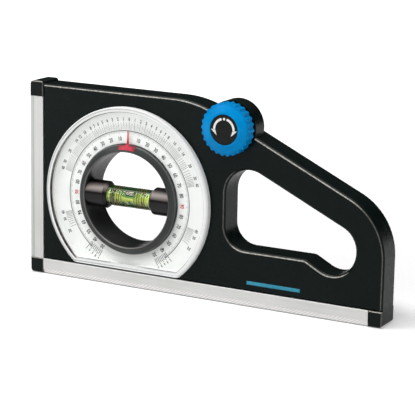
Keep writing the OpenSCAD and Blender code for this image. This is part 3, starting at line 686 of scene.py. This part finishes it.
class Print:
    """Closed thin shapes in the XZ plane, gathered into one mesh."""

    def __init__(self, centre, face_y):
        self.mesh = bmesh.new()
        self.centre = centre
        self.front = face_y - INK_T
        self.back = face_y + INK_T / 2

    def point(self, x, y, z):
        """A vertex at x and z from the centre."""
        return self.mesh.verts.new((self.centre.x + x, y, self.centre.z + z))

    def slab(self, outline):
        """outline: counter-clockwise points (x, z) from the centre, seen from the front."""
        rows = [[self.point(x, y, z) for x, z in outline] for y in (self.front, self.back)]
        count = len(outline)
        self.mesh.faces.new(rows[0])
        self.mesh.faces.new(list(reversed(rows[1])))
        for i in range(count):
            j = (i + 1) % count
            self.mesh.faces.new((rows[0][j], rows[0][i], rows[1][i], rows[1][j]))

    def tick(self, angle, inner, outer, width):
        """A radial line; angle in degrees from the top, clockwise."""
        out, side = polar(angle, 1), polar(angle + 90, 1)
        half = width / 2
        self.slab([
            (out[0] * r + side[0] * s, out[1] * r + side[1] * s)
            for r, s in ((outer, -half), (outer, half), (inner, half), (inner, -half))
        ])

    def arc(self, start, end, radius, width, steps):
        """A curved line between two angles from the top, clockwise."""
        rings = []
        for i in range(steps + 1):
            angle = start + (end - start) * i / steps
            inner = polar(angle, radius - width / 2)
            outer = polar(angle, radius + width / 2)
            corners = (
                (inner, self.front), (outer, self.front), (outer, self.back), (inner, self.back))
            rings.append([self.point(x, y, z) for (x, z), y in corners])
        self.mesh.faces.new(rings[0][::-1])
        self.mesh.faces.new(rings[-1])
        skin(self.mesh, rings)

    def figures(self, text, angle, radius, size):
        """Plain narrow figures, centred at radius and read from the centre outward."""
        curve = bpy.data.curves.new("figures", "FONT")
        curve.body = text
        curve.size = size
        curve.align_x = "CENTER"
        curve.align_y = "CENTER"
        curve.resolution_u = 2
        curve.extrude = (self.back - self.front) / 2
        curve.offset = 0.025 * size
        maker = bpy.data.objects.new("figures", curve)
        bpy.context.collection.objects.link(maker)
        depsgraph = bpy.context.evaluated_depsgraph_get()
        shape = bpy.data.meshes.new_from_object(maker.evaluated_get(depsgraph))
        x, z = polar(angle, radius)
        middle_y = (self.front + self.back) / 2
        narrow = Matrix.Diagonal((0.72, 1, 1, 1))
        shape.transform(
            Matrix.Translation((self.centre.x + x, middle_y, self.centre.z + z))
            @ Matrix.Rotation(math.radians(angle), 4, "Y")
            @ Matrix.Rotation(math.radians(90), 4, "X")
            @ narrow
        )
        self.mesh.from_mesh(shape)
        bpy.data.objects.remove(maker)
        bpy.data.curves.remove(curve)
        bpy.data.meshes.remove(shape)

    def finish(self, name, body, material):
        bmesh.ops.remove_doubles(self.mesh, verts=self.mesh.verts, dist=1e-7)
        add_piece(self.mesh, name, body, material)


# Inner scale of the dial, in degrees: its circle, how far its ticks and figures go to each
# side, and the place and height of the figures
CIRCLE_R = 35.1 * MM
DEGREE_END = 142
DEGREE_FIGURE_END = 150
DEGREE_FIGURE_R = 30.9 * MM
DEGREE_FIGURE_H = 3.1 * MM


def print_degrees(black, red):
    """The inner scale: degrees each way from the top, with a thin circle over them."""
    marks = Print(dial, plate_y)
    marks.arc(-DEGREE_END, DEGREE_END, CIRCLE_R, 0.36 * MM, 160)
    for degree in range(-DEGREE_END, DEGREE_END + 1):
        length = 1.9 if degree % 10 == 0 else 1.5 if degree % 5 == 0 else 1.1
        marks.tick(degree, CIRCLE_R - length * MM, CIRCLE_R, 0.12 * MM)
    reds = Print(dial, plate_y)
    for side in (-1, 1):
        for degree in range(10, DEGREE_FIGURE_END + 1, 10):
            value = degree if degree <= 90 else 180 - degree
            target = reds if value == 90 else marks
            target.figures(str(value), side * degree, DEGREE_FIGURE_R, DEGREE_FIGURE_H)
    marks.finish("degree_print", "housing", black)
    reds.finish("degree_print_red", "housing", red)


# Outer scale: where its ticks start, the length and width in mm of a tick for a whole, a
# half and another rise, and the place and height of the figures
SLOPE_R = 35.6 * MM
SLOPE_WHOLE = (3.9, 0.18)
SLOPE_HALF = (3.5, 0.15)
SLOPE_OTHER = (2.6, 0.09)
SLOPE_FIGURE_R = 40.9 * MM
SLOPE_FIGURE_H = 2.5 * MM


def slope_places(rise, low_side):
    """Angles at the left and right where a rise per twelve is read, from the top or, on the
    low side, from the foot of the dial."""
    angle = math.degrees(math.atan(rise / 12))
    if low_side:
        angle = 180 - angle
    return -angle, angle


def print_slopes(black):
    """The outer scale: rise per twelve along the base, each way from the top."""
    marks = Print(dial, plate_y)

    def tick_at(place, size):
        length, width = size
        marks.tick(place, SLOPE_R, SLOPE_R + length * MM, width * MM)

    def ticks(rise, low_side=False):
        size = SLOPE_WHOLE if rise % 1 == 0 else SLOPE_HALF if rise % 0.5 == 0 else SLOPE_OTHER
        for place in slope_places(rise, low_side):
            tick_at(place, size)

    def figures(rise, low_side=False):
        for place in slope_places(rise, low_side):
            marks.figures(str(rise), place, SLOPE_FIGURE_R, SLOPE_FIGURE_H)

    for first, last, parts in ((0, 8, 4), (8, 14, 2), (14, 20, 1)):
        for i in range(first * parts + 1, last * parts + 1):
            ticks(i / parts)
    for rise in range(22, 42, 2):
        ticks(rise)
        ticks(rise, True)
    for rise in (1, 2, 3, 4, 5, 6, 7, 8, 10, 12, 14, 20, 30, 40):
        figures(rise)
    for rise in (40, 30, 20):
        figures(rise, True)
    tick_at(0, SLOPE_WHOLE)
    marks.figures("0", 0, SLOPE_FIGURE_R, SLOPE_FIGURE_H)
    marks.finish("slope_print", "housing", black)


def print_fans(black):
    """Two small fans of a radius scale, at the lower left and right of the dial."""
    first, pitch = 139, 1.6
    inner_r, long_r, short_r, figure_r = 32.9 * MM, 36.6 * MM, 35.9 * MM, 37.7 * MM
    marks = Print(dial, plate_y)
    for side in (-1, 1):
        for i in range(9):
            outer_r = long_r if i % 2 == 0 else short_r
            marks.tick(side * (first + i * pitch), inner_r, outer_r, 0.3 * MM)
        for i, figure in enumerate(("2", "4", "6", "8", "9")):
            marks.figures(figure, side * (first + i * 2 * pitch), figure_r, 2 * MM)
    marks.finish("radius_print", "housing", black)


def print_arrows(white):
    """Two curved arrows with one barb each, and a dot, on the knob's disc."""
    arrows = Print(knob_mid, disc_y)
    radius, width = 5.3 * MM, 1.15 * MM
    for side in (-1, 1):
        arrows.arc(side * 15, side * 94, radius, width, 24)
        tip = polar(side * 128, 4.9 * MM)
        barb = polar(side * 91, 7.0 * MM)
        root = polar(side * 92, radius - width / 2)
        head = [tip, root, barb]
        arrows.slab(head if side < 0 else head[::-1])
    dot = [polar(-30 * i, 0.66 * MM) for i in range(12)]
    arrows.slab([(x, z + radius) for x, z in dot])
    arrows.finish("arrow_print", "knob", white)


def ring_band(mesh, x, width):
    """A thin closed band round the vial's axis."""
    steps = 64
    half = width / 2
    inner, outer = vial_r - INK_T, vial_r + INK_T
    corners = ((-half, inner), (half, inner), (half, outer), (-half, outer))
    rings = []
    for i in range(steps):
        turn = 2 * math.pi * i / steps
        rings.append([
            mesh.verts.new((x + s, vial.y + math.cos(turn) * r, vial.z + math.sin(turn) * r))
            for s, r in corners
        ])
    skin(mesh, rings + rings[:1])


def print_vial_rings(name, offsets, width, material):
    """Rings round the vial, offsets and width in mm, to both sides of its middle."""
    mesh = bmesh.new()
    for side in (-1, 1):
        for offset in offsets:
            ring_band(mesh, vial.x + side * offset * MM, width * MM)
    piece = add_piece(mesh, name, "ring", material)
    for face in piece.data.polygons:
        face.use_smooth = True


# Stage

def make_floor():
    """Floor that shows pale to the camera and in gloss, and white further off."""
    mesh = bmesh.new()
    bmesh.ops.create_grid(mesh, x_segments=1, y_segments=1, size=4)
    data = bpy.data.meshes.new("floor")
    mesh.to_mesh(data)
    mesh.free()
    floor = bpy.data.objects.new("floor", data)
    floor.location.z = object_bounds()[0].z - 0.02 * MM
    bpy.context.collection.objects.link(floor)
    f = Finish(
        "floor_pale", Base_Color=(0.8, 0.8, 0.8, 1), Emission_Color=(1, 1, 1, 1),
        Roughness=0.9, Specular_IOR_Level=0.1)
    camera, gloss, _ = f.rays()
    x, y, _ = f.axes(f.place)
    # It glows less near the object, so that the object's shadow shows
    glow = f.span(f.length(x, y), 0.15, 0.8, 0.33, 1)
    f.drive("Emission Strength", f.product(f.larger(camera, gloss), glow))
    data.materials.append(f.material)


def make_world():
    """White to the camera and through clear plastic, dimmer to matt surfaces, and dimmer
    near the horizon in gloss."""
    world = bpy.data.worlds.new("studio")
    bpy.context.scene.world = world
    world.use_nodes = True
    w = Nodes(world.node_tree)
    camera, gloss, scattered = w.rays()
    up = w.axes(w.add("ShaderNodeTexCoord").outputs["Generated"])[2]
    gloss = w.product(gloss, w.span(up, 0.5, 0.9, 0.03, 1))
    back = w.tree.nodes["Background"]
    back.inputs["Color"].default_value = (1, 1, 1, 1)
    light = w.larger(camera, w.calc("ADD", gloss, w.product(scattered, 0.3)))
    w.feed(back.inputs["Strength"], light)


def lamp(name, place, width, height, power):
    """A rectangular lamp that faces the middle of the object."""
    data = bpy.data.lights.new(name, "AREA")
    data.shape = "RECTANGLE"
    data.size = width
    data.size_y = height
    data.energy = power
    light = bpy.data.objects.new(name, data)
    light.location = place
    aim = Vector((0, 0, 0.05)) - Vector(place)
    light.rotation_euler = aim.to_track_quat("-Z", "Y").to_euler()
    bpy.context.collection.objects.link(light)


make_camera()
dress_nodes(make_finishes())
ink_black = ink("ink_black", (0.03, 0.03, 0.03), (0.07, 0.07, 0.07))
ink_red = ink("ink_red", (0.6, 0.02, 0.05), (0.72, 0.06, 0.09))
ink_white = ink("ink_white", (0.86, 0.86, 0.84), (0.93, 0.93, 0.91))
ink_olive = ink("ink_olive", (0.05, 0.06, 0.01), (0.11, 0.11, 0.02))
ink_brown = ink("ink_brown", (0.2, 0.07, 0.02), (0.3, 0.12, 0.03))
print_degrees(ink_black, ink_red)
print_slopes(ink_black)
print_fans(ink_black)
print_arrows(ink_white)
print_vial_rings("vial_lines", (3.85, 5.2, 8.15), 0.42, ink_olive)
print_vial_rings("vial_lines_red", (6.6, 9.4), 0.36, ink_brown)
make_floor()
make_world()
lamp("key", (-0.184, -0.434, 1.158), 1.05, 0.35, 10.3)
lamp("left_front", (-1.0, -0.9, 0.8), 0.5, 0.7, 4.5)
lamp("right", (1.3, -0.35, 0.5), 0.5, 0.8, 1.5)

bpy.context.scene.view_settings.view_transform = "Standard"
